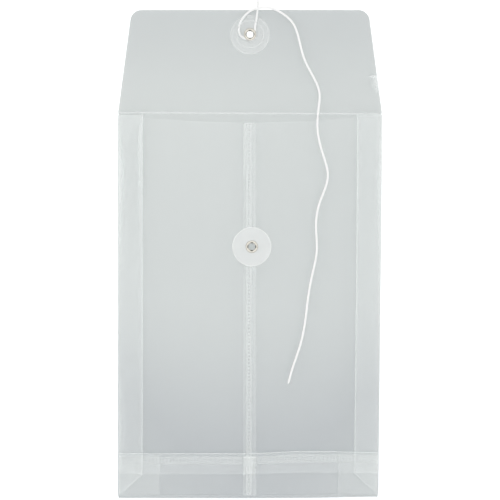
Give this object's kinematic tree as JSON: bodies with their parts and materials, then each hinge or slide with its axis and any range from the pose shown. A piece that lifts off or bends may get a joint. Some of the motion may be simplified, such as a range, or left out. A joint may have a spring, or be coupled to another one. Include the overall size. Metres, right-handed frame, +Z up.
{
  "type": "string tie envelope",
  "caption": "Clear plastic open-end envelope with gusseted sides, a folded block bottom, a lapped front seam and a flap tied by string around riveted buttons.",
  "frame": {"origin": "on the table under the middle of the open envelope, halfway between the bottom fold and the flap's tip", "axes": "+X to the right as the front is read, +Y from the bottom fold to the flap's tip, +Z up out of the front panel"},
  "size_m": [0.1588, 0.3126, 0.0059],
  "materials": {
    "film": "clear, slightly hazy polypropylene film with a gloss surface",
    "disc": "frosted translucent polypropylene sheet",
    "washer": "frosted translucent polypropylene sheet",
    "eyelet": "nickel plate, bright, a little worn at the rolled lips",
    "string": "white twisted cotton-type string"
  },
  "bodies": {
    "back": {"back_panel": "film", "rear_fold": "film", "bottom_fold": "film", "base_rear_tab": "film", "base_front_tab": "film", "base_side_tab_left": "film", "base_side_tab_right": "film", "base_corner_left": "film", "base_corner_right": "film", "gusset_left_rear": "film", "gusset_right_rear": "film"},
    "front": {"front_panel_left": "film", "front_panel_right": "film", "gusset_left_front": "film", "gusset_right_front": "film", "front_washer": "washer", "front_eyelet": "eyelet", "string_lower": "string"},
    "front_button": {"front_disc": "disc"},
    "flap": {"flap_panel": "film", "flap_washer": "washer", "flap_eyelet": "eyelet", "string_knot": "string", "string_upper": "string", "string_tail": "string"},
    "flap_button": {"flap_disc": "disc"}
  },
  "joints": [
    {"name": "pocket_open", "type": "hinge", "parent": "back", "child": "front", "pos_m": [0, -0.1452, 0.00235], "axis": [1, 0, 0], "range_deg": [0, 6.3], "deforming": ["gusset_left_rear", "gusset_right_rear", "gusset_left_front", "gusset_right_front", "front_panel_left", "front_panel_right", "string_lower"]},
    {"name": "flap_fold", "type": "hinge", "parent": "back", "child": "flap", "pos_m": [0, 0.08535, 0.0042], "axis": [-1, 0, 0], "range_deg": [-178, 0], "deforming": ["string_upper"]},
    {"name": "flap_disc_spin", "type": "hinge", "parent": "flap", "child": "flap_button", "pos_m": [0, 0.13225, 0.0006], "axis": [0, 0, 1], "continuous": true},
    {"name": "front_disc_spin", "type": "hinge", "parent": "front", "child": "front_button", "pos_m": [0.0011, 0.00445, 0.0047], "axis": [0, 0, 1], "continuous": true}
  ]
}
